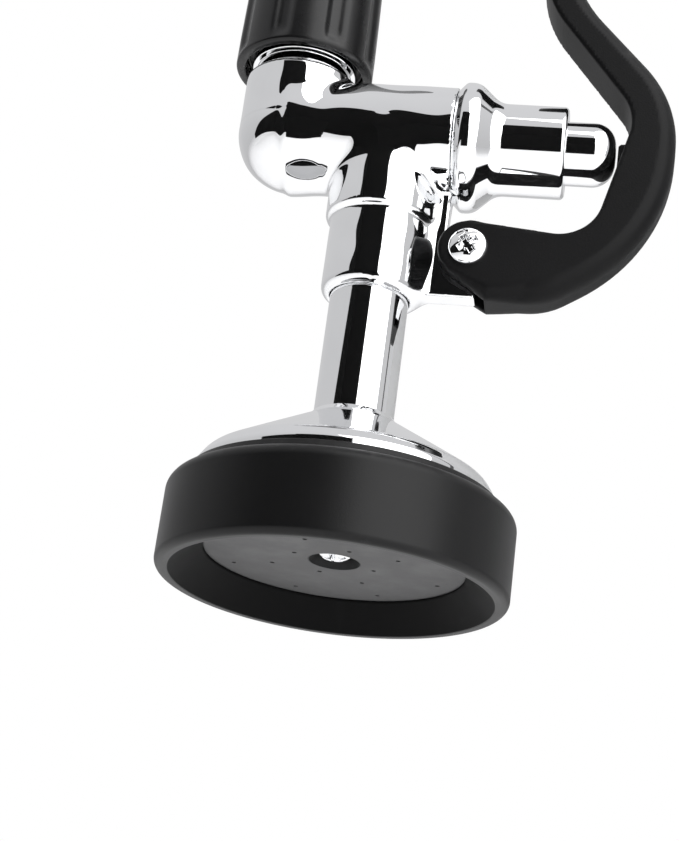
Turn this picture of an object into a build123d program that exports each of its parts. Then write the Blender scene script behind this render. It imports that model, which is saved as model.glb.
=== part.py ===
"""Pre-rinse spray valve: squeeze-lever valve body, grip with hose inlet, and a rubber-rimmed spray head.

Built in a working frame whose Z axis is the outlet tube and whose zero is the bumper's rim, with +X towards
the lever. Every solid is then moved so that the row's origin is the mouth of the hose inlet.
"""
from build123d import *
import os
from math import acos, atan2, cos, degrees, hypot, radians, sin

# ---------------------------------------------------------------- driving dimensions (mm)
FIT = 0.05                    # radial clearance of a running fit
SEAT_GAP = 0.02               # gap between pieces that are clamped or pressed together

# spray head
BUMPER_R = 33.0
BUMPER_WALL_TOP = 14.0        # top of the straight outer wall
BUMPER_TOP = 18.5
MOUTH_R = 30.3                # opening at the rim
RIM_ROUND = 1.4
FACE_SEEN_R = 24.4            # the bumper's flared wall meets the face here
FACE_R = 26.8
FACE_Z = 5.6                  # outside surface of the spray face
FACE_T = 2.6
FACE_RECESS_R = 4.8
FACE_RECESS_DEPTH = 2.4
JET_R = 0.45
JET_RINGS = ((7.9, 4, 27.0), (12.9, 4, 72.0), (21.0, 8, 27.5))   # ring radius, jets, first angle
DOME_R = 28.6
DOME_RIM_Z = 8.8
DOME_SHOULDER = (28.6, 17.4)  # radius and height where the rim turns into the dome
DOME_CONE_TOP = (8.6, 32.9)
DOME_CONE_LOW = (20.5, 25.9)
DOME_NECK_Z = 34.2            # the dome ends against the tube here
DOME_WALL = 1.6
SPIDER_R = 7.4
TUBE_R = 7.7
TUBE_BORE_R = 6.3
TUBE_FOOT = 31.0

# valve body
HUB_R = 9.7
HUB_BOTTOM = 59.1
HUB_TOP = 75.0
NECK_R = 10.8
SOCKET_TOP = 72.0             # depth of the hub's socket for the outlet tube
BARREL_Z = 94.2
BARREL_R = 11.8
BARREL_END = 13.4
ELBOW_R = 11.3
ELBOW_TOP = 106.4
SPIGOT_R = 9.0
SPIGOT_TOP = 112.4
WATERWAY_R = 6.6
CHAMBER_R = 8.0
BONNET_THREAD_R = 9.2
SEAT_X = -9.5                 # left face of the valve seat
SEAT_HOLE_R = 4.2

# bonnet, stem and button
BONNET_R = 9.18
BONNET_HUMP_R = 12.9
BONNET_END = 35.5
BONNET_FLOOR = 19.0
BUTTON_R = 6.35
BUTTON_TIP = 45.3
BUTTON_SKIRT = 26.0
STEM_R = 2.5
STEM_END = 41.0
SEAL_R = 4.2
SPRING_END = 37.0
SPRING_MEAN_R = 4.2
SPRING_WIRE_R = 0.5
SPRING_TURNS = 7

# lever and pivot
PIVOT_X = 18.5
PIVOT_Z = 69.5
BOSS_R = 5.9
EAR_R = 4.7
LUG_HALF = 2.2
LUG_LOW = 60.3
LUG_RIGHT = 20.8
LEVER_HALF = 5.5
SLOT_HALF = 2.4
SLOT_END = 22.4
LEVER_ROUND = 3.5
PIVOT_R = 2.0
BUSHING_R = 2.9
PAD_X = 45.6                  # the lever's thrust rib stands just clear of the button

# grip and hose inlet
GRIP_X = -19.7
GRIP_BOTTOM = 108.7
GRIP_TOP = 220.0
GRIP_R = 14.1
GRIP_WAIST_R = 13.3
GRIP_BORE_R = 7.6
GRIP_RECESS_R = 12.1
FLUTES = 8
INLET_TUBE_R = 7.4
INLET_TUBE_BORE_R = 5.8
COUPLING_R = 12.6
COUPLING_SHANK_R = 11.3
THREAD_R = 9.32               # minor radius of a G 1/2 female thread
THREAD_LENGTH = 12.5
WASHER_POCKET_R = 10.2
WASHER_T = 1.5
INLET_MOUTH = 230.0

BARREL_AXIS = (0.0, 0.0, BARREL_Z)
GRIP_AXIS = (GRIP_X, 0.0, 0.0)
PIVOT = (PIVOT_X, 0.0, PIVOT_Z)
ORIGIN = (GRIP_X, 0.0, INLET_MOUTH)
WASHER_BASE = INLET_MOUTH - THREAD_LENGTH - WASHER_T


# ---------------------------------------------------------------- helpers
def placed(solid, centre, along):
    """Turn a solid made about Z onto the wanted axis through centre."""
    if along == "X":
        solid = Rotation(0, 90, 0) * solid
    if along == "Y":
        solid = Rotation(-90, 0, 0) * solid
    return Pos(*centre) * solid


def turned(points, centre=(0.0, 0.0, 0.0), along="Z"):
    """Solid of revolution from (radius, position) pairs."""
    profile = make_face(Polyline(*[(r, 0, h) for r, h in points], close=True))
    return placed(revolve(profile, Axis.Z), centre, along)


def rod(radius, start, end, centre=(0.0, 0.0, 0.0), along="Z"):
    """Plain cylinder from start to end along the axis."""
    return turned([(0, start), (radius, start), (radius, end), (0, end)], centre, along)


def ring(outer, inner, start, end, centre=(0.0, 0.0, 0.0), along="Z"):
    """Plain washer or sleeve."""
    return turned([(inner, start), (outer, start), (outer, end), (inner, end)], centre, along)


def o_ring(mean_r, wire_r, at, centre=(0.0, 0.0, 0.0), along="Z"):
    """Round-section seal ring."""
    return placed(Pos(0, 0, at) * Torus(mean_r, wire_r), centre, along)


def cross_recess(size, depth):
    """Cutter for a cross-head drive whose mouth is at z = 0 and whose depth runs towards +Z."""
    arm = Box(size, size * 0.24, depth)
    return Pos(0, 0, depth / 2) * (arm + Rotation(0, 0, 90) * arm)


def pan_head(radius, height):
    """Domed screw head standing on z = 0 and rising to -Z, with its cross recess."""
    cap = [(0, 0), (radius, 0), (radius, -height * 0.35), (radius * 0.86, -height * 0.75),
           (radius * 0.55, -height * 0.96), (0, -height)]
    return turned(cap) - Pos(0, 0, -height) * Rotation(0, 0, 20) * cross_recess(radius * 1.2, height * 0.62)


# ---------------------------------------------------------------- valve body
def lug():
    """Plate that carries the lever: a web that tapers out of the hub, and an ear round the pivot."""
    half_plan = [(4.0, -HUB_R * 0.72), (8.4, -4.6), (10.0, -3.0), (11.9, -LUG_HALF), (13.4, -LUG_HALF)]
    other_half = [(x, -y) for x, y in reversed(half_plan)]
    plan = make_face(Polyline(*half_plan, *other_half, close=True))
    web = extrude(Pos(0, 0, LUG_LOW) * plan, BARREL_Z - 0.8 * BARREL_R - LUG_LOW)
    side = make_face(Polyline((12.0, 0, LUG_LOW), (LUG_RIGHT - 2.0, 0, LUG_LOW), (LUG_RIGHT, 0, LUG_LOW + 2.5),
                              (LUG_RIGHT, 0, PIVOT_Z), (12.0, 0, PIVOT_Z), close=True))
    plate = extrude(Pos(0, -LUG_HALF, 0) * side, 2 * LUG_HALF, dir=(0, 1, 0))
    ear = rod(EAR_R, -LUG_HALF, LUG_HALF, PIVOT, "Y")
    return web + plate + ear


def body_casting():
    """Chromed body: elbow, valve barrel, outlet hub and lever lug, with its waterways bored out."""
    shape = rod(ELBOW_R, BARREL_Z, ELBOW_TOP, GRIP_AXIS)
    shape += Pos(GRIP_X, 0, BARREL_Z) * Sphere(ELBOW_R)
    shape += turned([(0, GRIP_X), (ELBOW_R, GRIP_X), (ELBOW_R, -12.0), (BARREL_R, -4.0), (BARREL_R, BARREL_END),
                     (0, BARREL_END)], BARREL_AXIS, "X")
    shape += turned([(0, HUB_BOTTOM), (HUB_R - 1.9, HUB_BOTTOM), (HUB_R - 0.7, HUB_BOTTOM + 0.6),
                     (HUB_R, HUB_BOTTOM + 2.4), (HUB_R, HUB_TOP), (NECK_R, HUB_TOP + 1.6),
                     (NECK_R, BARREL_Z), (0, BARREL_Z)])
    shape += rod(SPIGOT_R, ELBOW_TOP, SPIGOT_TOP, GRIP_AXIS)
    shape += lug()
    shape -= rod(WATERWAY_R - 1.0, BARREL_Z, SPIGOT_TOP, GRIP_AXIS)
    shape -= rod(INLET_TUBE_R, ELBOW_TOP - 4.0, SPIGOT_TOP, GRIP_AXIS)
    shape -= Pos(GRIP_X, 0, BARREL_Z) * Sphere(WATERWAY_R)
    shape -= rod(WATERWAY_R, GRIP_X, SEAT_X, BARREL_AXIS, "X")
    shape -= rod(CHAMBER_R, SEAT_X, 4.0, BARREL_AXIS, "X")
    shape -= rod(BONNET_THREAD_R, 3.0, BARREL_END, BARREL_AXIS, "X")
    shape -= rod(TUBE_BORE_R - 0.8, SOCKET_TOP, BARREL_Z)
    shape -= rod(TUBE_R + FIT, HUB_BOTTOM, SOCKET_TOP)
    shape -= rod(BUSHING_R, -2 * LUG_HALF, 2 * LUG_HALF, PIVOT, "Y")
    return shape


def grip_lock_ring():
    """Chromed ring nut on the elbow's spigot, seen inside the grip's lower recess."""
    return turned([(SPIGOT_R + SEAT_GAP, ELBOW_TOP + 0.8), (10.6, ELBOW_TOP + 0.8), (11.3, ELBOW_TOP + 1.5),
                   (11.3, SPIGOT_TOP - 0.6), (SPIGOT_R + SEAT_GAP, SPIGOT_TOP - 0.6)], GRIP_AXIS)


# ---------------------------------------------------------------- valve works, on the barrel's axis
def valve_seat():
    """Seat ring pushed against the shoulder inside the barrel, with a raised lip for the washer."""
    return turned([(SEAT_HOLE_R, SEAT_X), (SEAT_HOLE_R + 0.6, SEAT_X), (SEAT_HOLE_R + 0.9, SEAT_X + 0.6),
                   (CHAMBER_R - SEAT_GAP, SEAT_X + 0.6), (CHAMBER_R - SEAT_GAP, SEAT_X + 3.0),
                   (SEAT_HOLE_R, SEAT_X + 3.0)], BARREL_AXIS, "X")


WASHER_LEFT = SEAT_X - FIT - 2.0
SCREW_R = 1.6


def seat_washer():
    """Rubber disc that closes on the seat's lip."""
    return ring(5.7, SCREW_R, WASHER_LEFT, SEAT_X - FIT, BARREL_AXIS, "X")


def washer_cup():
    """Brass cup behind the seat washer."""
    left = WASHER_LEFT - 1.0
    return turned([(SCREW_R, left), (6.1, left), (6.1, WASHER_LEFT + 1.0), (5.7, WASHER_LEFT + 1.0),
                   (5.7, WASHER_LEFT), (SCREW_R, WASHER_LEFT)], BARREL_AXIS, "X")


def washer_screw():
    """Screw that holds the washer and its cup on the stem."""
    head_right = WASHER_LEFT - 1.0
    head = rod(3.0, head_right - 1.2, head_right, BARREL_AXIS, "X")
    return head + rod(SCREW_R, head_right, SEAT_X + 3.0, BARREL_AXIS, "X")


def valve_stem():
    """Stem from the seat washer to the button, tapped at its left end."""
    solid = rod(STEM_R, SEAT_X - FIT, STEM_END, BARREL_AXIS, "X")
    return solid - rod(SCREW_R, SEAT_X - 1.0, SEAT_X + 3.0, BARREL_AXIS, "X")


def bonnet():
    """Screwed bonnet: hump against the body, concave waist, plain nose, and a guide bore for the button."""
    hump = BARREL_END + 2.6
    waist_end = 22.6
    sweep_out = BONNET_HUMP_R - BONNET_R
    waist = []
    steps = 6
    for i in range(steps + 1):
        t = i / steps
        waist.append((BONNET_R + sweep_out * 0.93 * (1 - sin(radians(90 * t))), hump + 0.9 + (waist_end - hump - 0.9) * t))
    guide = BUTTON_R + FIT
    bore = STEM_R + FIT
    root = BONNET_THREAD_R - SEAT_GAP
    outer = [(SEAL_R, 4.4), (root, 4.4), (root, BARREL_END + SEAT_GAP), (BARREL_R + 0.1, BARREL_END + SEAT_GAP),
             (BARREL_R + 0.8, BARREL_END + 1.0), (BONNET_HUMP_R, hump)]
    nose = [(BONNET_R, BONNET_END - 1.0), (BONNET_R - 0.3, BONNET_END - 0.3), (BONNET_R - 1.0, BONNET_END),
            (guide, BONNET_END), (guide, BONNET_FLOOR), (bore, BONNET_FLOOR), (bore, 8.4), (SEAL_R, 8.4)]
    return turned(outer + waist + nose, BARREL_AXIS, "X")


def bonnet_o_ring():
    """Seal between the bonnet's end and the barrel."""
    return o_ring(CHAMBER_R + 0.45, 0.65, 3.7, BARREL_AXIS, "X")


def stem_seal():
    """Lip seal in the bonnet's inner end, running on the stem."""
    return ring(SEAL_R, STEM_R + FIT, 5.6, 8.4, BARREL_AXIS, "X")


def seal_keeper():
    """Washer that keeps the stem seal in its pocket."""
    return ring(SEAL_R, STEM_R + FIT, 4.4, 5.6, BARREL_AXIS, "X")


def return_spring():
    """Compression spring between the bonnet's floor and the inside of the button."""
    height = SPRING_END - BONNET_FLOOR - 2 * SPRING_WIRE_R - 0.1
    path = Helix(pitch=height / SPRING_TURNS, height=height, radius=SPRING_MEAN_R)
    section = Plane(path @ 0, z_dir=path % 0) * Circle(SPRING_WIRE_R)
    return placed(Pos(0, 0, BONNET_FLOOR + SPRING_WIRE_R + 0.05) * sweep(section, path=path), BARREL_AXIS, "X")


def push_button():
    """Chromed button: a cup that slides in the bonnet, with a domed, well-rounded tip."""
    tip = [(0, BUTTON_TIP), (1.8, BUTTON_TIP - 0.15), (3.4, BUTTON_TIP - 0.6), (4.7, BUTTON_TIP - 1.4),
           (5.6, BUTTON_TIP - 2.4), (6.15, BUTTON_TIP - 3.6), (BUTTON_R, BUTTON_TIP - 5.0)]
    inside = [(BUTTON_R, BUTTON_SKIRT), (5.2, BUTTON_SKIRT), (5.2, SPRING_END), (STEM_R, SPRING_END),
              (STEM_R, STEM_END), (0, STEM_END)]
    return turned(tip + inside, BARREL_AXIS, "X")


# ---------------------------------------------------------------- lever
def xz(points):
    """Points of the XZ plane as 3-D points."""
    return [(x, 0, z) for x, z in points]


BOSS_TOP = (PIVOT_X, PIVOT_Z + BOSS_R)
BOSS_BACK = (PIVOT_X + BOSS_R * cos(radians(152)), PIVOT_Z + BOSS_R * sin(radians(152)))
HEEL = (22.6, 59.5)
HEEL_TURN = degrees(atan2(HEEL[1] - PIVOT_Z, HEEL[0] - PIVOT_X))
LOW_TURN = HEEL_TURN - degrees(acos(BOSS_R / hypot(HEEL[0] - PIVOT_X, HEEL[1] - PIVOT_Z)))
BOSS_LOW = (PIVOT_X + BOSS_R * cos(radians(LOW_TURN)), PIVOT_Z + BOSS_R * sin(radians(LOW_TURN)))
TIP = ((33.2, 182.6), (34.4, 185.0), (38.2, 184.6), (39.6, 182.0))
INSIDE_CORNERS = (BOSS_TOP, (41.6, 73.1), (48.7, 101.4), (28.5, 127.1), (26.4, 153.0), TIP[0])
INSIDE_RADII = (8.5, 10.0, 25.0, 70.0)
OUTSIDE_CORNERS = (TIP[-1], (33.2, 153.0), (32.8, 132.1), (56.75, 105.9), (56.85, 74.5), (34.6, 59.9), HEEL)
OUTSIDE_RADII = (70.0, 30.0, 26.0, 36.0, 14.0)


def lever():
    """Squeeze lever: forked over the lug, bowed round the button, then running up beside the grip."""
    inside = FilletPolyline(*xz(INSIDE_CORNERS), radius=list(INSIDE_RADII))
    outside = FilletPolyline(*xz(OUTSIDE_CORNERS), radius=list(OUTSIDE_RADII))
    tip = Polyline(*xz(TIP))
    heel = Line(*xz((HEEL, BOSS_LOW)))
    boss = ThreePointArc(*xz((BOSS_LOW, BOSS_BACK, BOSS_TOP)))
    outline = [edge for part in (inside, tip, outside, heel, boss) for edge in part.edges()]
    solid = extrude(Pos(0, -LEVER_HALF, 0) * make_face(outline), 2 * LEVER_HALF, dir=(0, 1, 0))
    middles = [edge @ 0.5 for edge in outside.edges()]
    rounded = [edge for edge in solid.edges() if abs(abs((edge @ 0.5).Y) - LEVER_HALF) < 1e-3
               and any(hypot((edge @ 0.5).X - m.X, (edge @ 0.5).Z - m.Z) < 0.05 for m in middles)]
    solid = fillet(rounded, LEVER_ROUND)
    rib = Pos((PAD_X + 49.0) / 2, 0, 91.6) * Box(49.0 - PAD_X, 5.0, 8.4)
    solid += rib
    slot = Pos((PIVOT_X - 8 + SLOT_END) / 2, 0, PIVOT_Z) * Box(SLOT_END - PIVOT_X + 8, 2 * SLOT_HALF, 40)
    solid -= slot + rod(BOSS_R, -SLOT_HALF, SLOT_HALF, PIVOT, "Y")
    return solid - rod(PIVOT_R, -2 * LEVER_HALF, 2 * LEVER_HALF, PIVOT, "Y")


def pivot_bushing():
    """Bronze sleeve pressed into the lug."""
    return ring(BUSHING_R, PIVOT_R + FIT, -LUG_HALF, LUG_HALF, PIVOT, "Y")


def pivot_screw():
    """Cross-head shoulder screw through the fork."""
    head = Pos(PIVOT_X, -LEVER_HALF, PIVOT_Z) * Rotation(-90, 0, 0) * pan_head(3.75, 2.2)
    return head + rod(PIVOT_R, -LEVER_HALF, LEVER_HALF + 2.4, PIVOT, "Y")


def pivot_nut():
    """Hexagon nut on the far side of the fork."""
    hexagon = extrude(RegularPolygon(radius=3.9, side_count=6), 2.6)
    nut = hexagon - rod(PIVOT_R, -1.0, 4.0)
    return Pos(PIVOT_X, LEVER_HALF, PIVOT_Z) * Rotation(-90, 0, 0) * nut


# ---------------------------------------------------------------- spray head
def outlet_tube():
    """Chromed tube from the hub down to the dome, grooved near its top for a seal ring."""
    top = SOCKET_TOP - 1.1
    return turned([(TUBE_BORE_R, TUBE_FOOT), (TUBE_R, TUBE_FOOT), (TUBE_R, top - 3.6), (TUBE_R - 0.9, top - 3.6),
                   (TUBE_R - 0.9, top - 2.2), (TUBE_R, top - 2.2), (TUBE_R, top), (TUBE_BORE_R, top)])


def tube_o_ring():
    """Seal ring in the tube's groove."""
    return o_ring(TUBE_R - 0.45, 0.44, SOCKET_TOP - 1.1 - 2.9)


def tube_washer():
    """Flat washer between the tube's end and the bottom of its socket."""
    return ring(TUBE_R - 0.1, TUBE_BORE_R + 0.1, SOCKET_TOP - 1.08, SOCKET_TOP - 0.08)


def spray_dome():
    """Chromed dome: straight rim, rounded shoulder, shallow cone, and an inner collar for the spider."""
    shoulder = (DOME_SHOULDER[0], 0, DOME_SHOULDER[1])
    cone_low = (DOME_CONE_LOW[0], 0, DOME_CONE_LOW[1])
    cone_top = (DOME_CONE_TOP[0], 0, DOME_CONE_TOP[1])
    slope = (Vector(*cone_low) - Vector(*cone_top)).normalized()
    shoulder_arc = TangentArc(cone_low, shoulder, tangent=slope)
    socket = TUBE_R + SEAT_GAP
    neck = (socket, 0, DOME_NECK_Z)
    rim_in = DOME_R - DOME_WALL
    inside_low = (DOME_CONE_LOW[0] - 0.8, 0, DOME_CONE_LOW[1] - 1.5)
    collar_r = SPIDER_R + 1.6
    ceiling = DOME_CONE_TOP[1] - 1.9
    lines = [Line(neck, cone_top), Line(cone_top, cone_low), shoulder_arc,
             Polyline(shoulder, (DOME_R, 0, DOME_RIM_Z), (rim_in, 0, DOME_RIM_Z), (rim_in, 0, 16.6),
                      inside_low, (collar_r, 0, ceiling - 0.4), (collar_r, 0, 22.0), (SPIDER_R, 0, 22.0),
                      (SPIDER_R, 0, TUBE_FOOT - SEAT_GAP), (socket, 0, TUBE_FOOT - SEAT_GAP), neck)]
    outline = [edge for line in lines for edge in line.edges()]
    return revolve(make_face(outline), Axis.Z)


def spray_spider():
    """Brass insert in the dome's throat: a ring and three arms round the tapped boss for the face screw."""
    low, high = 23.0, 28.0
    boss_r = 3.8
    solid = ring(SPIDER_R - SEAT_GAP, SPIDER_R - 1.3, low, high) + rod(boss_r, 10.4, high)
    for i in range(3):
        arm = Pos((boss_r + SPIDER_R - 1.0) / 2, 0, (low + high) / 2) * Box(SPIDER_R - boss_r - 0.4, 1.8, high - low)
        solid += Rotation(0, 0, 120 * i) * arm
    return solid - rod(PIVOT_R, 9.0, 22.0)


def face_gasket():
    """Flat ring between the spray face and the dome's rim."""
    return ring(DOME_R - 0.1, 25.2, FACE_Z + FACE_T, DOME_RIM_Z)


def spray_face():
    """Spray face: disc with three rings of jets and a central recess for its screw."""
    floor = FACE_Z + FACE_RECESS_DEPTH
    solid = turned([(FACE_RECESS_R, FACE_Z), (FACE_R, FACE_Z), (FACE_R, FACE_Z + FACE_T), (6.6, FACE_Z + FACE_T),
                    (6.6, floor + 1.8), (PIVOT_R + 0.1, floor + 1.8), (PIVOT_R + 0.1, floor), (FACE_RECESS_R, floor)])
    jets = []
    for radius, count, first in JET_RINGS:
        for i in range(count):
            angle = radians(first + 360 * i / count)
            jets.append(Pos(radius * cos(angle), radius * sin(angle), FACE_Z + FACE_T / 2) * Cylinder(JET_R, 2 * FACE_T))
    return solid - Compound(children=jets)


def face_screw():
    """Cross-head screw that holds the spray face to the spider."""
    under = FACE_Z + FACE_RECESS_DEPTH
    return Pos(0, 0, under) * pan_head(4.0, 2.2) + rod(PIVOT_R, under, 21.0)


def bumper():
    """Rubber rim guard: outer wall, rounded shoulder, flared mouth, and a lip under the spray face."""
    lip = FACE_Z - SEAT_GAP
    lower = [(MOUTH_R + 0.1, 0.25), (MOUTH_R + 0.7, 0.0), (BUMPER_R - RIM_ROUND, 0.0), (BUMPER_R - 0.4, 0.4),
             (BUMPER_R, RIM_ROUND), (BUMPER_R, BUMPER_WALL_TOP), (BUMPER_R - 0.25, 15.2), (BUMPER_R - 0.9, 16.2),
             (BUMPER_R - 2.0, 16.8), (30.3, 17.0), (29.8, 17.1), (29.6, BUMPER_TOP - 0.15), (29.4, BUMPER_TOP),
             (DOME_R + 0.1, BUMPER_TOP)]
    inner = [(DOME_R + 0.1, FACE_Z + FACE_T), (FACE_R + 0.05, FACE_Z + FACE_T), (FACE_R + 0.05, lip),
             (FACE_SEEN_R, lip), (FACE_SEEN_R, lip - 0.5), (MOUTH_R - 0.2, 0.7)]
    return turned(lower + inner)


# ---------------------------------------------------------------- grip and hose inlet
def grip_sleeve():
    """Moulded grip: waisted, fluted, with a recess at its foot and a seat for the coupling at its head."""
    low, high = GRIP_BOTTOM, GRIP_TOP
    outer = [(GRIP_RECESS_R, low), (GRIP_R - 0.6, low), (GRIP_R, low + 0.9), (GRIP_R - 0.05, low + 6.0),
             (GRIP_R - 0.45, low + 26.0), (GRIP_WAIST_R, low + 50.0), (GRIP_WAIST_R + 0.3, low + 74.0),
             (GRIP_R, low + 96.0), (GRIP_R + 0.3, high - 3.0), (GRIP_R - 0.4, high - 0.6), (GRIP_R - 1.2, high)]
    seat = COUPLING_SHANK_R + 2 * SEAT_GAP
    inner = [(seat, high), (seat, high - 8.0), (GRIP_BORE_R, high - 8.0), (GRIP_BORE_R, low + 12.0),
             (SPIGOT_R + 0.2, low + 12.0), (SPIGOT_R + 0.2, SPIGOT_TOP - 0.5), (GRIP_RECESS_R, SPIGOT_TOP - 0.5)]
    solid = turned(outer + inner, GRIP_AXIS)
    flute_r, depth = 2.6, 0.75
    for i in range(FLUTES):
        angle = radians(360 * (i + 0.5) / FLUTES)
        reach = GRIP_WAIST_R + flute_r - depth + 0.45
        cutter = Cylinder(flute_r, high - low - 12.0)
        solid -= Pos(GRIP_X + reach * cos(angle), reach * sin(angle), (low + high) / 2) * cutter
    return solid


def inlet_tube():
    """Inner tube that carries water from the coupling to the elbow."""
    return ring(INLET_TUBE_R - SEAT_GAP, INLET_TUBE_BORE_R, ELBOW_TOP - 4.0, WASHER_BASE - 0.1, GRIP_AXIS)


def hose_coupling():
    """Chromed coupling at the grip's head, with the female thread for the hose."""
    low = GRIP_TOP - 7.8
    shank = COUPLING_SHANK_R
    return turned([(INLET_TUBE_R, low), (shank, low), (shank, GRIP_TOP + 0.1), (COUPLING_R - 0.6, GRIP_TOP + 0.1),
                   (COUPLING_R, GRIP_TOP + 0.8), (COUPLING_R, INLET_MOUTH - 1.0), (COUPLING_R - 1.0, INLET_MOUTH),
                   (THREAD_R, INLET_MOUTH), (THREAD_R, WASHER_BASE + WASHER_T), (WASHER_POCKET_R, WASHER_BASE + WASHER_T)
                   ] + [(WASHER_POCKET_R, WASHER_BASE), (INLET_TUBE_R, WASHER_BASE)], GRIP_AXIS)


def hose_washer():
    """Rubber washer that the hose end seals on."""
    return ring(WASHER_POCKET_R - 0.05, INLET_TUBE_BORE_R + 0.4, WASHER_BASE, WASHER_BASE + WASHER_T, GRIP_AXIS)


PIECES = (body_casting, grip_lock_ring, valve_seat, seat_washer, washer_cup, washer_screw, valve_stem, bonnet,
          bonnet_o_ring, stem_seal, seal_keeper, return_spring, push_button, lever, pivot_bushing, pivot_screw,
          pivot_nut, outlet_tube, tube_o_ring, tube_washer, spray_dome, spray_spider, face_gasket, spray_face,
          face_screw, bumper, grip_sleeve, inlet_tube, hose_coupling, hose_washer)


def main():
    """Write every piece to its own file, in the row's frame."""
    os.makedirs("parts", exist_ok=True)
    shift = Pos(-ORIGIN[0], -ORIGIN[1], -ORIGIN[2])
    for piece in PIECES:
        solid = shift * piece()
        export_step(Part(solid.wrapped), f"parts/{piece.__name__}.step")


if __name__ == "__main__":
    main()
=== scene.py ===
"""Pre-rinse spray valve: the visible pieces, their finishes and a plain studio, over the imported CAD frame."""
import math
import bpy
import numpy as np
from mathutils import Matrix, Vector


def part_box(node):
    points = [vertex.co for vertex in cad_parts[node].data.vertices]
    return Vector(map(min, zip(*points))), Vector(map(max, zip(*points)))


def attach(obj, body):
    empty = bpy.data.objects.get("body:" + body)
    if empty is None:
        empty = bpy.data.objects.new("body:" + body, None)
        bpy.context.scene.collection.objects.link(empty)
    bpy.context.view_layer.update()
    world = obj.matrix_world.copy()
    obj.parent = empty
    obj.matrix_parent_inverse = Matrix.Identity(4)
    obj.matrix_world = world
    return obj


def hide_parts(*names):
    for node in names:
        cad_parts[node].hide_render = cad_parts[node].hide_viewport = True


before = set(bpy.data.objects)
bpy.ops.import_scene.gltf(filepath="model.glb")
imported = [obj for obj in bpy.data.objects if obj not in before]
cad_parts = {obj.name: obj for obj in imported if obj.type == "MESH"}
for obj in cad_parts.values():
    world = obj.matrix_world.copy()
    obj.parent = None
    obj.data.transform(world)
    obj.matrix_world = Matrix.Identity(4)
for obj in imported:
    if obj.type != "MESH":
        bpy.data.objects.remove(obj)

bl_info = {
    "name": "Pre-rinse spray valve",
    "version": (1, 0, 0),
    "blender": (4, 5, 0),
    "location": "3D View > Sidebar > Spray valve",
    "description": "Builds the visible pieces of a squeeze-lever pre-rinse spray valve over its CAD frame",
    "category": "Add Mesh",
}

MM = 0.001


# ------------------------------------------------------------------ places taken from the frame
def middle(node):
    """Centre of a CAD node's box, in metres."""
    low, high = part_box(node)
    return (low + high) / 2


TUBE_X = middle("outlet_tube").x / MM             # axis of the outlet tube and the spray head
RIM_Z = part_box("bumper")[0].z / MM                # lowest edge of the bumper
BARREL_Z = middle("bonnet").z / MM - RIM_Z        # height of the barrel's axis above that edge
GRIP_X = middle("grip_sleeve").x / MM - TUBE_X    # grip axis, seen from the tube's axis
PIVOT_X = middle("pivot_bushing").x / MM - TUBE_X
PIVOT_Z = middle("pivot_bushing").z / MM - RIM_Z
MOUTH_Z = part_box("hose_coupling")[1].z / MM - RIM_Z
GRIP_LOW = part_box("grip_sleeve")[0].z / MM - RIM_Z
GRIP_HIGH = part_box("grip_sleeve")[1].z / MM - RIM_Z


# ------------------------------------------------------------------ sizes and colours
def length(name, description, default):
    """A length in millimetres, shown to the user."""
    return bpy.props.FloatProperty(name=name, description=description, default=default, min=0.0, precision=2)


def colour(name, description, default):
    """A linear colour, shown to the user."""
    return bpy.props.FloatVectorProperty(name=name, description=description, default=default, size=4,
                                         subtype="COLOR", min=0.0, max=1.0)


class SprayValveSizes(bpy.types.PropertyGroup):
    bumper_radius: length("Bumper radius", "Outer radius of the rubber rim guard, mm", 33.0)
    mouth_radius: length("Mouth radius", "Radius of the guard's opening at its rim, mm", 30.3)
    face_edge: length("Face edge", "Radius at which the guard's flared wall meets the spray face, mm", 24.4)
    face_height: length("Face height", "Height of the spray face above the rim, mm", 5.6)
    dome_radius: length("Dome radius", "Radius of the spray head's chromed rim, mm", 28.6)
    tube_radius: length("Tube radius", "Outer radius of the outlet tube, mm", 7.7)
    hub_radius: length("Hub radius", "Radius of the hub that takes the outlet tube, mm", 9.7)
    neck_radius: length("Neck radius", "Radius of the neck between hub and barrel, mm", 10.8)
    barrel_radius: length("Barrel radius", "Radius of the valve barrel, mm", 11.8)
    elbow_radius: length("Elbow radius", "Radius of the elbow under the grip, mm", 11.3)
    bonnet_radius: length("Bonnet radius", "Radius of the bonnet's plain nose, mm", 9.18)
    hump_radius: length("Hump radius", "Radius of the bonnet's hump, mm", 12.9)
    button_radius: length("Button radius", "Radius of the push button, mm", 6.35)
    lever_width: length("Lever width", "Width of the squeeze lever, mm", 11.0)
    boss_radius: length("Boss radius", "Radius of the lever's boss round the pivot screw, mm", 5.9)
    grip_radius: length("Grip radius", "Radius of the grip at its foot, mm", 14.1)
    flutes: bpy.props.IntProperty(name="Flutes", description="Flutes round the grip", default=8, min=3)


class SprayValveColours(bpy.types.PropertyGroup):
    chrome: colour("Chrome", "Colour of the plated metal", (0.87, 0.875, 0.885, 1.0))
    rubber: colour("Rubber", "Colour of the rim guard", (0.0035, 0.0035, 0.0037, 1.0))
    lever: colour("Lever", "Colour of the lever's moulded plastic", (0.0035, 0.0035, 0.0038, 1.0))
    grip: colour("Grip", "Colour of the grip's moulded plastic", (0.004, 0.004, 0.0043, 1.0))
    face: colour("Spray face", "Colour of the spray face", (0.066, 0.066, 0.067, 1.0))
    brass: colour("Brass", "Colour of the bare brass inside", (0.72, 0.5, 0.22, 1.0))
    steel: colour("Steel", "Colour of the spring", (0.55, 0.55, 0.56, 1.0))
    floor: colour("Floor", "Colour of the studio floor", (0.86, 0.86, 0.86, 1.0))


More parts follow.
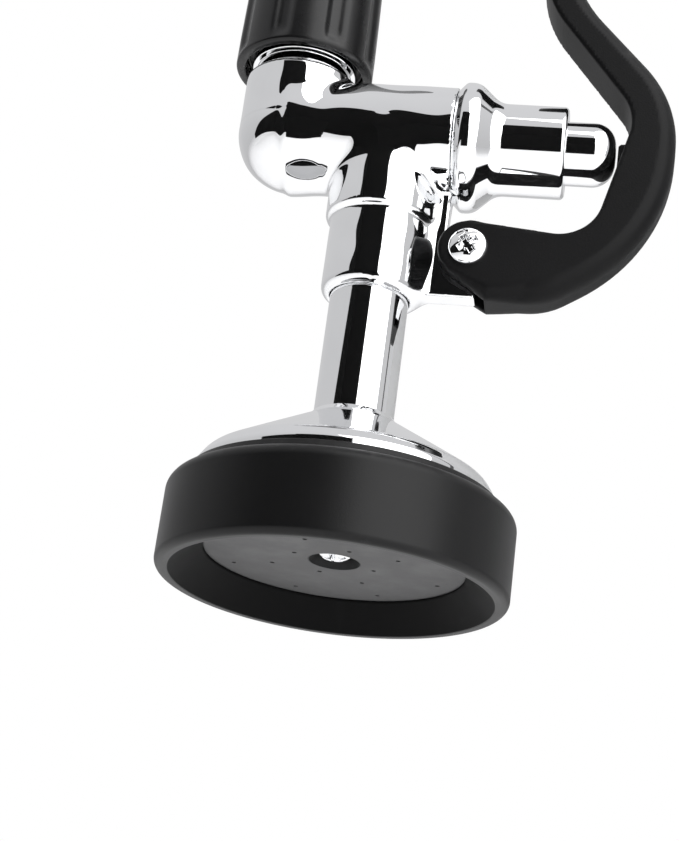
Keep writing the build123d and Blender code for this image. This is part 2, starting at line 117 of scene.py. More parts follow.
# ------------------------------------------------------------------ outlines
def rounded_loop(corners, closed=True, step=6.0):
    """Points and outward normals of a chain of (a, b, radius) corners, with every corner turned as an arc."""
    count = len(corners)
    points, normals = [], []
    area = sum(corners[i][0] * corners[(i + 1) % count][1] - corners[(i + 1) % count][0] * corners[i][1]
               for i in range(count))
    side = 1.0 if area > 0 else -1.0
    for i, (a, b, radius) in enumerate(corners):
        here = np.array((a, b))
        before = np.array(corners[i - 1][:2]) if (closed or i > 0) else None
        after = np.array(corners[(i + 1) % count][:2]) if (closed or i < count - 1) else None
        if before is None or after is None:
            along = (after - here) if before is None else (here - before)
            along = along / np.linalg.norm(along)
            points.append(here)
            normals.append(np.array((along[1], -along[0])) * side)
            continue
        u = (here - before) / np.linalg.norm(here - before)
        v = (after - here) / np.linalg.norm(after - here)
        turn = math.atan2(u[0] * v[1] - u[1] * v[0], float(u @ v))
        if radius <= 0 or abs(turn) < 1e-4:
            n = np.array((u[1] + v[1], -u[0] - v[0])) * side
            points.append(here)
            normals.append(n / np.linalg.norm(n))
            continue
        reach = radius * math.tan(abs(turn) / 2)
        sense = math.copysign(1.0, turn)
        left = np.array((-u[1], u[0])) * sense
        centre = here - u * reach + left * radius
        start = math.atan2(-left[1], -left[0])
        parts = max(2, int(math.ceil(math.degrees(abs(turn)) / step)))
        for k in range(parts + 1):
            angle = start + turn * k / parts
            ray = np.array((math.cos(angle), math.sin(angle)))
            points.append(centre + radius * ray)
            normals.append(ray * sense * side)
    return np.array(points), np.array(normals)


# ------------------------------------------------------------------ meshes
def to_row(points):
    """Millimetres from the tube's axis and the bumper's rim, to metres in the row frame."""
    return (np.asarray(points, float) + np.array((TUBE_X, 0.0, RIM_Z))) * MM


def new_piece(name, points, faces, normals=None, material=None):
    """A mesh object from millimetre points, smooth shaded, with its own normals where they are given."""
    mesh = bpy.data.meshes.new(name)
    mesh.from_pydata([tuple(p) for p in to_row(points)], [], [tuple(int(i) for i in f) for f in faces])
    mesh.validate(clean_customdata=False)
    mesh.polygons.foreach_set("use_smooth", np.ones(len(mesh.polygons), dtype=bool))
    if normals is not None:
        mesh.normals_split_custom_set_from_vertices([tuple(n) for n in normals])
    mesh.update()
    piece = bpy.data.objects.new(name, mesh)
    bpy.context.scene.collection.objects.link(piece)
    if material is not None:
        mesh.materials.append(material)
    return piece


def on_axis(points, centre, along):
    """Turn points made about Z onto the axis through centre."""
    x, y, z = points[:, 0], points[:, 1], points[:, 2]
    if along == "X":
        points = np.stack((z, y, -x), axis=1)
    elif along == "-Y":
        points = np.stack((x, -z, y), axis=1)
    elif along == "Y":
        points = np.stack((-x, z, y), axis=1)
    return points + np.asarray(centre, float)


def lathe(name, corners, material, centre=(0.0, 0.0, 0.0), along="Z", segments=160, ripple=None):
    """Surface of revolution from (radius, height, corner radius) rows.

    A chain with both ends on the axis stays open, and any other chain is closed into a ring.
    ripple(radius, height, angle) may move the surface outwards or inwards, for flutes, knurls and threads.
    """
    on_centre = corners[0][0] < 1e-6 and corners[-1][0] < 1e-6
    loop, loop_normals = rounded_loop(corners, closed=not on_centre)
    turns = np.linspace(0.0, 2 * math.pi, segments, endpoint=False)
    points, normals, rings = [], [], []
    for (radius, height), (out, up) in zip(loop, loop_normals):
        if radius < 1e-6:
            rings.append([len(points)] * segments)
            points.append((0.0, 0.0, height))
            normals.append((0.0, 0.0, math.copysign(1.0, up)))
            continue
        rings.append(list(range(len(points), len(points) + segments)))
        reach = np.full(segments, radius)
        if ripple is not None:
            reach = reach + ripple(radius, height, turns)
        for t, r in zip(turns, reach):
            points.append((r * math.cos(t), r * math.sin(t), height))
            normals.append((out * math.cos(t), out * math.sin(t), up))
    faces = []
    pairs = len(rings) - 1 if on_centre else len(rings)
    for i in range(pairs):
        low, high = rings[i], rings[(i + 1) % len(rings)]
        for j in range(segments):
            k = (j + 1) % segments
            corner = [low[j], low[k], high[k], high[j]]
            face = [c for n, c in enumerate(corner) if c not in corner[:n]]
            if len(face) > 2:
                faces.append(face)
    points = on_axis(np.array(points), centre, along)
    normals = on_axis(np.array(normals), (0, 0, 0), along)
    first = np.array([points[i] for i in faces[len(faces) // 2][:3]])
    flat = np.cross(first[1] - first[0], first[2] - first[0])
    if float(flat @ normals[faces[len(faces) // 2][0]]) < 0:
        faces = [face[::-1] for face in faces]
    return new_piece(name, points, faces, normals if ripple is None else None, material)


def slope_of(field, p, reach=0.02):
    """Gradient of a field at points p."""
    out = np.empty_like(p)
    for axis in range(3):
        ahead, behind = p.copy(), p.copy()
        ahead[:, axis] += reach
        behind[:, axis] -= reach
        out[:, axis] = (field(*ahead.T) - field(*behind.T)) / (2 * reach)
    return out


def skin(name, field, low, high, step, material):
    """Mesh of the surface where field(x, y, z) is zero, negative inside, with its true normals."""
    axes = [np.arange(a, b + step, step) for a, b in zip(low, high)]
    value = field(*np.meshgrid(*axes, indexing="ij"))
    inside = value < 0
    shape = np.array(value.shape) - 1
    total = np.zeros(tuple(shape) + (3,))
    hits = np.zeros(tuple(shape))
    origin, faces = np.array([a[0] for a in axes]), []
    cell_count = sum(inside[i:i + shape[0], j:j + shape[1], k:k + shape[2]].astype(int)
                     for i in (0, 1) for j in (0, 1) for k in (0, 1))
    active = (cell_count > 0) & (cell_count < 8)
    ids = np.full(tuple(shape), -1)
    ids[active] = np.arange(int(active.sum()))
    for axis in range(3):
        others = [n for n in range(3) if n != axis]
        size = np.array(value.shape)
        size[axis] -= 1
        near = value[tuple(slice(0, s) for s in size)]
        shift = [slice(0, s) for s in size]
        shift[axis] = slice(1, size[axis] + 1)
        far = value[tuple(shift)]
        where = np.argwhere((near < 0) != (far < 0))
        a, b = near[tuple(where.T)], far[tuple(where.T)]
        spot = where.astype(float)
        spot[:, axis] += a / (a - b)
        cells = []
        for m in (0, 1):
            for n in (0, 1):
                cell = where.copy()
                cell[:, others[0]] -= m
                cell[:, others[1]] -= n
                good = np.all((cell >= 0) & (cell < shape), axis=1)
                cells.append(np.where(good, 1, 0))
                picked = cell[good]
                np.add.at(total, tuple(picked.T), spot[good])
                np.add.at(hits, tuple(picked.T), 1.0)
        whole = np.all(np.array(cells) == 1, axis=0)
        base, sign = where[whole], (a < 0)[whole]
        ring = []
        for m, n in ((1, 1), (0, 1), (0, 0), (1, 0)):
            cell = base.copy()
            cell[:, others[0]] -= m
            cell[:, others[1]] -= n
            ring.append(ids[tuple(cell.T)])
        ring = np.stack(ring, axis=1)
        flip = sign if axis != 1 else ~sign
        faces.append(np.where(flip[:, None], ring, ring[:, ::-1]))
    points = origin + step * total[active] / hits[active][:, None]
    for _ in range(4):
        slope = slope_of(field, points)
        push = field(*points.T)[:, None] * slope / np.maximum((slope ** 2).sum(1), 0.05)[:, None]
        points = points - np.clip(push, -0.5 * step, 0.5 * step)
    slope = slope_of(field, points)
    normals = slope / np.maximum(np.linalg.norm(slope, axis=1), 1e-6)[:, None]
    return new_piece(name, points, np.concatenate(faces), normals, material)


# ------------------------------------------------------------------ solid fields, in millimetres
def joined(a, b, blend):
    """Union of two fields with a fillet."""
    h = np.maximum(blend - np.abs(a - b), 0.0) / blend
    return np.minimum(a, b) - h * h * blend * 0.25


def cut(a, b, blend):
    """Field a without b, with a rounded edge."""
    return -joined(-a, b, blend)


def rounded_edge(p, q, radius):
    """Field of a prism from its outline distance p and its end distance q, with rounded edges."""
    u, v = p + radius, q + radius
    return np.minimum(np.maximum(u, v), 0.0) + np.hypot(np.maximum(u, 0.0), np.maximum(v, 0.0)) - radius


def bar(x, y, z, radius, low, high, edge, along="Z"):
    """Cylinder from low to high along an axis through the origin."""
    across, height = (np.hypot(x, y), z) if along == "Z" else (np.hypot(y, z), x)
    return rounded_edge(across - radius, np.abs(height - (low + high) / 2) - (high - low) / 2, edge)


def block(x, y, z, half, edge):
    """Box about the origin with rounded edges."""
    u, v, w = (np.abs(c) - h + edge for c, h in zip((x, y, z), half))
    out = np.sqrt(np.maximum(u, 0) ** 2 + np.maximum(v, 0) ** 2 + np.maximum(w, 0) ** 2)
    return out + np.minimum(np.maximum(np.maximum(u, v), w), 0.0) - edge


def chain_distance(x, z, chain, closed):
    """Distance to a chain of points, and whether each place is inside it."""
    shape = np.shape(x)
    px, pz = np.ravel(x), np.ravel(z)
    best = np.full(px.shape, 1e9)
    inside = np.zeros(px.shape, dtype=bool)
    last = len(chain) if closed else len(chain) - 1
    for i in range(last):
        ax, az = chain[i]
        bx, bz = chain[(i + 1) % len(chain)]
        dx, dz = bx - ax, bz - az
        size = dx * dx + dz * dz
        if size < 1e-12:
            continue
        t = np.clip(((px - ax) * dx + (pz - az) * dz) / size, 0.0, 1.0)
        best = np.minimum(best, (px - ax - t * dx) ** 2 + (pz - az - t * dz) ** 2)
        crossing = ((az > pz) != (bz > pz)) & (px < dx * (pz - az) / (dz if dz else 1e-12) + ax)
        inside ^= crossing
    return np.sqrt(best).reshape(shape), inside.reshape(shape)


# ------------------------------------------------------------------ shader helpers
def feed(tree, target, item):
    """Give a socket a plain value, or link another socket to it."""
    if isinstance(item, bpy.types.NodeSocket):
        tree.links.new(item, target)
    else:
        target.default_value = item


def object_place(tree):
    """The object's own coordinates, in metres."""
    return tree.nodes.new("ShaderNodeTexCoord").outputs["Object"]


def noise(tree, scale, detail, roughness, place):
    """Noise value over a place; the scale may be a number or a socket."""
    node = tree.nodes.new("ShaderNodeTexNoise")
    for name, item in (("Scale", scale), ("Detail", detail), ("Roughness", roughness), ("Vector", place)):
        feed(tree, node.inputs[name], item)
    return node.outputs["Fac"]


def remap(tree, value, low, high, out_low, out_high):
    """Clamped linear remap of a value."""
    node = tree.nodes.new("ShaderNodeMapRange")
    for name, item in (("Value", value), ("From Min", low), ("From Max", high), ("To Min", out_low),
                       ("To Max", out_high)):
        feed(tree, node.inputs[name], item)
    return node.outputs["Result"]


def combine(tree, operation, a, b):
    """Math node of two values or sockets."""
    node = tree.nodes.new("ShaderNodeMath")
    node.operation = operation
    feed(tree, node.inputs[0], a)
    feed(tree, node.inputs[1], b)
    return node.outputs["Value"]


def tint(tree, first, second, mask, blend="MIX"):
    """Mix of two colours or sockets by a mask."""
    node = tree.nodes.new("ShaderNodeMix")
    node.data_type = "RGBA"
    node.blend_type = blend
    for name, item in (("A", first), ("B", second), ("Factor", mask)):
        feed(tree, node.inputs[name], item)
    return node.outputs["Result"]


def new_group(name, inputs, outputs):
    """Empty shader group with float sockets; gives the group and its inner ends."""
    group = bpy.data.node_groups.new(name, "ShaderNodeTree")
    for label, default in inputs:
        made = group.interface.new_socket(name=label, in_out="INPUT", socket_type="NodeSocketFloat")
        made.default_value = default
    for label in outputs:
        group.interface.new_socket(name=label, in_out="OUTPUT", socket_type="NodeSocketFloat")
    return group, group.nodes.new("NodeGroupInput").outputs, group.nodes.new("NodeGroupOutput").inputs


def moulded_grain_group():
    """Fine moulded or rubbery grain: a height, and a mottle that varies the roughness and the colour."""
    group, given, result = new_group("Moulded grain", (("Scale", 900.0), ("Patch scale", 45.0)),
                                     ("Height", "Mottle"))
    place = object_place(group)
    fine = noise(group, given["Scale"], 3.0, 0.6, place)
    cells = group.nodes.new("ShaderNodeTexVoronoi")
    cells.feature = "SMOOTH_F1"
    feed(group, cells.inputs["Vector"], place)
    feed(group, cells.inputs["Scale"], given["Scale"])
    patches = noise(group, given["Patch scale"], 5.0, 0.55, place)
    height = combine(group, "ADD", combine(group, "MULTIPLY", fine, 0.6), cells.outputs["Distance"])
    feed(group, result["Height"], height)
    feed(group, result["Mottle"], remap(group, patches, 0.3, 0.7, 0.0, 1.0))
    return group


def polish_group():
    """Marks on polished metal: wiping haze, hair-fine scratches, and a height."""
    group, given, result = new_group("Polish marks", (("Haze scale", 28.0), ("Scratch scale", 260.0)),
                                     ("Haze", "Scratches", "Height"))
    place = object_place(group)
    haze = noise(group, given["Haze scale"], 6.0, 0.6, place)
    stretch = group.nodes.new("ShaderNodeMapping")
    stretch.inputs["Scale"].default_value = (1.0, 1.0, 0.06)
    stretch.inputs["Rotation"].default_value = (0.35, 0.2, 0.5)
    feed(group, stretch.inputs["Vector"], place)
    hair = noise(group, given["Scratch scale"], 2.0, 0.5, stretch.outputs["Vector"])
    feed(group, result["Haze"], remap(group, haze, 0.45, 0.75, 0.0, 1.0))
    feed(group, result["Scratches"], remap(group, hair, 0.66, 0.74, 0.0, 1.0))
    feed(group, result["Height"], haze)
    return group


def edge_wear_group():
    """Rubbed convex edges as a mask, broken up by noise."""
    group, given, result = new_group("Edge wear", (("Start", 0.54), ("Break-up", 120.0)), ("Wear",))
    point = group.nodes.new("ShaderNodeNewGeometry").outputs["Pointiness"]
    broken = remap(group, noise(group, given["Break-up"], 4.0, 0.6, object_place(group)), 0.4, 0.65, 0.0, 1.0)
    edge = remap(group, combine(group, "SUBTRACT", point, given["Start"]), 0.0, 0.06, 0.0, 1.0)
    feed(group, result["Wear"], combine(group, "MULTIPLY", edge, broken))
    return group


def dust_group():
    """Faint dust that settles on upward faces."""
    group, given, result = new_group("Settled dust", (("Amount", 0.5),), ("Dust",))
    split = group.nodes.new("ShaderNodeSeparateXYZ")
    feed(group, split.inputs["Vector"], group.nodes.new("ShaderNodeNewGeometry").outputs["Normal"])
    up = remap(group, split.outputs["Z"], 0.1, 1.0, 0.0, 1.0)
    dots = remap(group, noise(group, 320.0, 5.0, 0.65, object_place(group)), 0.5, 0.8, 0.0, 1.0)
    settled = combine(group, "MULTIPLY", up, dots)
    feed(group, result["Dust"], combine(group, "MULTIPLY", settled, given["Amount"]))
    return group


GROUP_MAKERS = {"Moulded grain": moulded_grain_group, "Polish marks": polish_group,
                "Edge wear": edge_wear_group, "Settled dust": dust_group}


def use_group(tree, name, **values):
    """Place a shared group in a material with its own values."""
    node = tree.nodes.new("ShaderNodeGroup")
    node.node_tree = bpy.data.node_groups.get(name) or GROUP_MAKERS[name]()
    for label, number in values.items():
        node.inputs[label.replace("_", " ")].default_value = number
    return node


def blank_material(name):
    """Material with a Principled shader, and its tree."""
    material = bpy.data.materials.new(name)
    material.use_nodes = True
    return material, material.node_tree, material.node_tree.nodes["Principled BSDF"]


def bump(tree, shader, height, strength, distance):
    """Bump that feeds the shader's normal."""
    node = tree.nodes.new("ShaderNodeBump")
    node.inputs["Strength"].default_value = strength
    node.inputs["Distance"].default_value = distance
    feed(tree, node.inputs["Height"], height)
    feed(tree, shader.inputs["Normal"], node.outputs["Normal"])


def shade(colour_value, factor):
    """A colour made lighter or darker."""
    return tuple(min(1.0, c * factor) for c in colour_value[:3]) + (1.0,)


def chrome_finish(name, colour_value):
    """Polished plating with wiping haze and fine scratches."""
    material, tree, shader = blank_material(name)
    marks = use_group(tree, "Polish marks").outputs
    shader.inputs["Metallic"].default_value = 1.0
    hazy = shade(colour_value, 0.93)
    feed(tree, shader.inputs["Base Color"], tint(tree, colour_value, hazy, marks["Haze"]))
    rough = remap(tree, marks["Haze"], 0.0, 1.0, 0.018, 0.05)
    rough = combine(tree, "ADD", rough, combine(tree, "MULTIPLY", marks["Scratches"], 0.05))
    feed(tree, shader.inputs["Roughness"], rough)
    bump(tree, shader, marks["Height"], 0.02, 0.0002)
    return material


def metal_finish(name, colour_value, roughness):
    """Bare machined or drawn metal."""
    material, tree, shader = blank_material(name)
    marks = use_group(tree, "Polish marks", Haze_scale=60.0, Scratch_scale=500.0).outputs
    shader.inputs["Metallic"].default_value = 1.0
    hazy = shade(colour_value, 0.75)
    feed(tree, shader.inputs["Base Color"], tint(tree, colour_value, hazy, marks["Haze"]))
    feed(tree, shader.inputs["Roughness"], remap(tree, marks["Haze"], 0.0, 1.0, roughness, roughness + 0.12))
    bump(tree, shader, marks["Scratches"], 0.15, 0.00005)
    return material


DUST_AMOUNT = 0.10
DUST_COLOUR = (0.35, 0.34, 0.33, 1.0)


def moulded_finish(name, colour_value, roughness, grain, strength, specular, worn):
    """Moulded plastic or rubber with grain, mottling, rubbed edges and a little dust."""
    material, tree, shader = blank_material(name)
    grains = use_group(tree, "Moulded grain", Scale=grain).outputs
    wear = use_group(tree, "Edge wear").outputs["Wear"]
    dust = use_group(tree, "Settled dust", Amount=DUST_AMOUNT).outputs["Dust"]
    base = tint(tree, colour_value, shade(colour_value, 1.12), grains["Mottle"])
    rubbed = tint(tree, base, shade(colour_value, 2.4), combine(tree, "MULTIPLY", wear, worn))
    feed(tree, shader.inputs["Base Color"], tint(tree, rubbed, DUST_COLOUR, dust))
    rough = remap(tree, grains["Mottle"], 0.0, 1.0, roughness - 0.03, roughness + 0.04)
    rough = combine(tree, "SUBTRACT", rough, combine(tree, "MULTIPLY", wear, 0.12))
    feed(tree, shader.inputs["Roughness"], rough)
    shader.inputs["Specular IOR Level"].default_value = specular
    bump(tree, shader, grains["Height"], strength, 0.1 / grain)
    return material


RECESS_RADIUS = 5.1    # of the spray face's screw recess, mm
RECESS_PAINTED_SHADE = 0.12    # how much of the face's colour its wall keeps under the painted shade
RECESS_ROUGHER = 0.2


def paint_recess_shade(material):
    """Paint shade into the screw's recess: the face's colour darker there, standing in for the recess's shadow,
    and the finish rougher and without its plastic sheen.
    """
    tree = material.node_tree
    shader = tree.nodes["Principled BSDF"]
    shift = tree.nodes.new("ShaderNodeVectorMath")
    shift.operation = "MULTIPLY_ADD"
    for target, item in zip(shift.inputs, (object_place(tree), (1.0, 1.0, 0.0), (-TUBE_X * MM, 0.0, 0.0))):
        feed(tree, target, item)
    reach = tree.nodes.new("ShaderNodeVectorMath")
    reach.operation = "LENGTH"
    feed(tree, reach.inputs[0], shift.outputs["Vector"])
    edge = RECESS_RADIUS * MM
    inside = remap(tree, reach.outputs["Value"], edge - 0.6 * MM, edge, 1.0, 0.0)
    keep = remap(tree, inside, 0.0, 1.0, 1.0, RECESS_PAINTED_SHADE)
    # painted shade: the face's colour multiplied down inside the recess, standing in for its shadow
    plain = shader.inputs["Base Color"].links[0].from_socket
    feed(tree, shader.inputs["Base Color"], tint(tree, plain, keep, 1.0, "MULTIPLY"))
    feed(tree, shader.inputs["Metallic"], inside)
    rough = shader.inputs["Roughness"].links[0].from_socket
    added = combine(tree, "MULTIPLY", inside, RECESS_ROUGHER)
    feed(tree, shader.inputs["Roughness"], combine(tree, "ADD", rough, added))
    return material


def finish_of(kind):
    """The finish for one kind of surface, made once."""
    name = FINISH_NAMES[kind]
    made = bpy.data.materials.get(name)
    if made is not None:
        return made
    colours = bpy.context.scene.spray_valve_colours
    if kind == "chrome":
        return chrome_finish(name, tuple(colours.chrome))
    if kind in METAL_ROUGHNESS:
        return metal_finish(name, tuple(getattr(colours, kind)), METAL_ROUGHNESS[kind])
    # the guard's inner flare takes the rubber's colour halved, painted shade for the shadow inside its mouth; its
    # lower specular level is a duller finish
    value = shade(tuple(colours.rubber), 0.5) if kind == "flare" else tuple(getattr(colours, kind))
    made = moulded_finish(name, value, *MOULDINGS[kind])
    return paint_recess_shade(made) if kind == "face" else made


METAL_ROUGHNESS = {"brass": 0.25, "steel": 0.22}
# roughness, grain scale, grain strength, specular level, share of worn edges
MOULDINGS = {"rubber": (0.38, 3600.0, 0.3, 0.26, 0.5), "flare": (0.5, 3600.0, 0.2, 0.06, 0.5),
             "lever": (0.44, 3200.0, 0.5, 0.14, 0.5), "grip": (0.26, 2600.0, 0.05, 0.36, 0.5),
             "face": (0.6, 1800.0, 0.10, 0.3, 0.0)}
FINISH_NAMES = {"chrome": "Polished chrome", "rubber": "Guard rubber", "flare": "Guard rubber, inner flare",
                "lever": "Lever plastic", "grip": "Grip plastic", "face": "Spray face plastic",
                "brass": "Machined brass", "steel": "Spring steel"}


def settle(piece, body, slot, *nodes):
    """Ride the piece on its body, and let it stand for its CAD nodes; slot is not used."""
    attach(piece, body)
    if nodes:
        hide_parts(*nodes)
    return piece


def finish_nodes(kind, *names):
    """Give CAD nodes a finish of their own."""
    for name in names:
        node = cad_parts[name]
        node.data.materials.clear()
        node.data.materials.append(finish_of(kind))


# ------------------------------------------------------------------ the pieces
BARREL_AXIS = (0.0, 0.0, BARREL_Z)
GRIP_AXIS = (GRIP_X, 0.0, 0.0)
# lengths in mm: x from the outlet tube's axis, z from the bumper's rim
BARREL_END = 13.4      # x where the barrel's flange meets the bonnet
ELBOW_TOP = GRIP_LOW - 2.3
SPIGOT_RADIUS = 9.0    # of the elbow's spigot inside the lock ring
INLET_RADIUS = 7.4     # of the water's way in
HUB_LOW = 59.1
HUB_TOP = 84.0
NECK_LOW = 75.6
SOCKET_MOUTH = 66.0    # top of the outlet socket's rounded mouth
TUBE_PLAY = 0.12       # between the tube and its socket
WASHER_PLAY = 0.08
LUG_HALF = 2.2         # half the lug's thickness
EAR_RADIUS = 4.6       # of the lug round the pivot
WAVE = 0.045           # height of the polished casting's slight waves
ELBOW_FILLET = 2.0     # elbow to barrel
STEM_FILLET = 1.6      # barrel to neck
HUB_FILLET = 0.9       # neck to hub
LUG_FILLET = 2.2


def frame_span(node):
    """Low and high corners of a CAD node's box, in mm from the tube's axis and the rim."""
    return tuple(np.array(corner) / MM - np.array((TUBE_X, 0.0, RIM_Z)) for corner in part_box(node))


def casting_field(x, y, z):
    """Body casting: elbow, barrel, neck, hub, lug, and the visible ends of its bores."""
    s = bpy.context.scene.spray_valve_sizes
    rise = z - BARREL_Z
    gx = x - GRIP_X
    spigot = bar(gx, y, z, SPIGOT_RADIUS, BARREL_Z, ELBOW_TOP + 6.0, 0.4)
    elbow = bar(gx, y, z, s.elbow_radius, BARREL_Z, ELBOW_TOP, 0.7)
    ball = np.sqrt(gx * gx + y * y + rise * rise) - s.elbow_radius
    grow = np.clip((x + 12.0) / 8.0, 0.0, 1.0)
    grow = grow * grow * (3 - 2 * grow)
    radius = s.elbow_radius + (s.barrel_radius - s.elbow_radius) * grow
    barrel = rounded_edge(np.hypot(y, rise) - radius, np.abs(x - (GRIP_X + BARREL_END) / 2)
                          - (BARREL_END - GRIP_X) / 2, 0.25)
    arm = joined(np.minimum(elbow, ball), barrel, ELBOW_FILLET)
    hub = bar(x, y, z, s.hub_radius, HUB_LOW, HUB_TOP, 1.9)
    neck = bar(x, y, z, s.neck_radius, NECK_LOW, BARREL_Z, 0.9)
    stem = joined(joined(hub, neck, HUB_FILLET), lug_field(x, y, z, HUB_LOW + 1.2), LUG_FILLET)
    body = np.minimum(joined(arm, stem, STEM_FILLET), spigot)
    body = body + WAVE * (np.sin(0.52 * x + 0.33 * z + 1.0) * np.sin(0.41 * y - 0.47 * z)
                          + 0.7 * np.sin(0.71 * z + 0.2 * x) * np.cos(0.38 * x + 0.3 * y))
    washer_low, washer_high = frame_span("tube_washer")
    socket = s.tube_radius + TUBE_PLAY
    bore = max(socket, (washer_high[0] - washer_low[0]) / 2 + WASHER_PLAY)
    body = cut(body, bar(x, y, z, socket, HUB_LOW - 5.0, SOCKET_MOUTH, 0.1), 0.5)
    body = cut(body, bar(x, y, z, bore, SOCKET_MOUTH - 3.5, washer_high[2] + 0.1, 0.1), 0.2)
    inlet = bar(gx, y, z, INLET_RADIUS, ELBOW_TOP + 1.0, ELBOW_TOP + 9.0, 0.1)
    return cut(body, inlet, 0.3)


def lug_field(x, y, z, low):
    """Plate round the lever's pivot, widening into the hub."""
    half = LUG_HALF + 6.2 * np.clip((12.0 - x) / 8.6, 0.0, 1.0) ** 1.5
    top = BARREL_Z - 9.0
    web = np.maximum(np.maximum(x - 13.9, 2.0 - x), np.maximum(low - z, z - top))
    foot = np.maximum(np.maximum(x - 20.6, 4.0 - x), np.maximum(low - z, z - PIVOT_Z))
    ear = np.hypot(x - PIVOT_X, z - PIVOT_Z) - EAR_RADIUS
    thin = np.abs(y) - LUG_HALF
    plate = np.minimum(rounded_edge(np.abs(y) - half, web, 0.5), rounded_edge(thin, foot, 0.4))
    return np.minimum(plate, rounded_edge(thin, ear, 0.4))


class SPRAYVALVE_OT_casting(bpy.types.Operator):
    """Chromed body casting: elbow, barrel, outlet hub and lever lug in one blended skin."""
    bl_idname = "spray_valve.casting"
    bl_label = "Body casting"

    def execute(self, context):
        low, high = frame_span("body_casting")
        piece = skin("Body_casting", casting_field, low - 1.0, high + 1.0, 0.45, finish_of("chrome"))
        settle(piece, "valve", "chrome", "body_casting")
        return {"FINISHED"}


class SPRAYVALVE_OT_bonnet(bpy.types.Operator):
    """Chromed bonnet with hump, concave waist and plain nose, and the push button in it."""
    bl_idname = "spray_valve.bonnet"
    bl_label = "Bonnet and button"

    def execute(self, context):
        s = context.scene.spray_valve_sizes
        start = BARREL_END + 0.05
        end = frame_span("bonnet")[1][0]
        guide = s.button_radius + 0.05
        hump = s.hump_radius + 0.1
        skirt_radius, bore, foot, floor = 9.15, 2.55, 4.4, 19.0
        profile = [(skirt_radius, foot, 0.2), (skirt_radius, start, 0.15), (s.barrel_radius - 0.5, start, 0.35),
                   (hump, 15.1, 1.1), (hump, 17.6, 3.6), (s.bonnet_radius, 21.9, 4.2), (s.bonnet_radius, end, 0.9),
                   (guide, end, 0.3), (guide, floor, 0.3), (bore, floor, 0.2), (bore, foot, 0.2)]
        bonnet = lathe("Bonnet", profile, finish_of("chrome"), BARREL_AXIS, "X")
        settle(bonnet, "valve", "chrome", "bonnet")
        skirt, tip = (corner[0] for corner in frame_span("push_button"))
        r = s.button_radius
        hollow, back = 5.2, 37.0
        crown = [(0.0, tip, 0.0), (2.2, tip - 0.12, 4.0), (r, tip - 0.9, 4.4), (r, skirt, 0.3),
                 (hollow, skirt, 0.2), (hollow, back, 0.4), (0.0, back, 0.0)]
        button = lathe("Push_button", crown, finish_of("chrome"), BARREL_AXIS, "X")
        settle(button, "button", "chrome", "push_button")
        return {"FINISHED"}


# corners of the lever's side outline: x, z, corner radius
INSIDE = ((41.6, 73.1, 8.5), (48.7, 101.4, 10.0), (28.5, 127.1, 25.0), (26.4, 153.0, 70.0))
LEVER_TIP = ((33.5, 184.6, 2.6), (39.4, 184.0, 2.6))
OUTSIDE = ((33.2, 153.0, 70.0), (32.8, 132.1, 30.0), (56.75, 105.9, 26.0), (56.85, 74.5, 36.0),
           (34.6, 59.9, 14.0))
HEEL = (22.6, 59.5, 0.4)
INNER_EDGE = 0.55      # edge radius along the lever's flat inner face
OUTER_EDGE = 3.9       # edge radius along its round outer side
SLOT_HALF = 2.4        # half the fork's slot


def lever_outline(sizes):
    """Side outline of the lever, with its inner and outer edges as separate chains."""
    top = (PIVOT_X, PIVOT_Z + sizes.boss_radius, 0.0)
    heel_x, heel_z = HEEL[0] - PIVOT_X, HEEL[1] - PIVOT_Z
    low_angle = math.atan2(heel_z, heel_x) - math.acos(sizes.boss_radius / math.hypot(heel_x, heel_z))
    low = (PIVOT_X + sizes.boss_radius * math.cos(low_angle),
           PIVOT_Z + sizes.boss_radius * math.sin(low_angle), 0.0)
    loop = (top,) + INSIDE + LEVER_TIP + OUTSIDE + (HEEL, low)
    whole, _ = rounded_loop(loop, step=3.0)
    inner, _ = rounded_loop((top,) + INSIDE + LEVER_TIP[:1], closed=False, step=3.0)
    outer, _ = rounded_loop(LEVER_TIP[1:] + OUTSIDE + (HEEL,), closed=False, step=3.0)
    return whole, inner, outer


class SPRAYVALVE_OT_lever(bpy.types.Operator):
    """Moulded squeeze lever: forked boss, flat inner face, round outer side, thrust rib and long handle."""
    bl_idname = "spray_valve.lever"
    bl_label = "Squeeze lever"

    def execute(self, context):
        s = context.scene.spray_valve_sizes
        whole, inner, outer = lever_outline(s)
        half = s.lever_width / 2

        def field(x, y, z):
            """Lever solid."""
            away, inside = chain_distance(x, z, whole, True)
            flat = np.where(inside, -away, away)
            to_inner, _ = chain_distance(x, z, inner, False)
            to_outer, _ = chain_distance(x, z, outer, False)
            share = to_inner / (to_inner + to_outer + 1e-6)
            share = np.clip((share - 0.25) / 0.5, 0.0, 1.0)
            share = share * share * (3 - 2 * share)
            boss = np.hypot(x - PIVOT_X, z - PIVOT_Z) - s.boss_radius
            near_boss = np.clip((boss + 1.0) / 9.0, 0.0, 1.0)
            flat = joined(flat, boss, 0.5)
            edge = INNER_EDGE + (OUTER_EDGE - INNER_EDGE) * share * near_boss
            solid = rounded_edge(flat, np.abs(y) - half, edge)
            rib = block(x - 47.3, y, z - 91.6, (1.7, 2.5, 4.2), 0.5)
            solid = joined(solid, rib, 0.8)
            slot = np.maximum(np.abs(y) - SLOT_HALF, np.minimum(x - HEEL[0] + 0.2, boss))
            return cut(solid, slot, 0.3)

        low, high = frame_span("lever")
        piece = skin("Squeeze_lever", field, low - 1.0, high + 1.0, 0.6, finish_of("lever"))
        settle(piece, "lever", "black_plastic", "lever")
        return {"FINISHED"}


def cross(u, v, long, thick):
    """Field of two crossed bars, from their half length and half thickness."""
    u, v = np.abs(u), np.abs(v)
    return np.minimum(np.maximum(u - long, v - thick), np.maximum(v - long, u - thick))


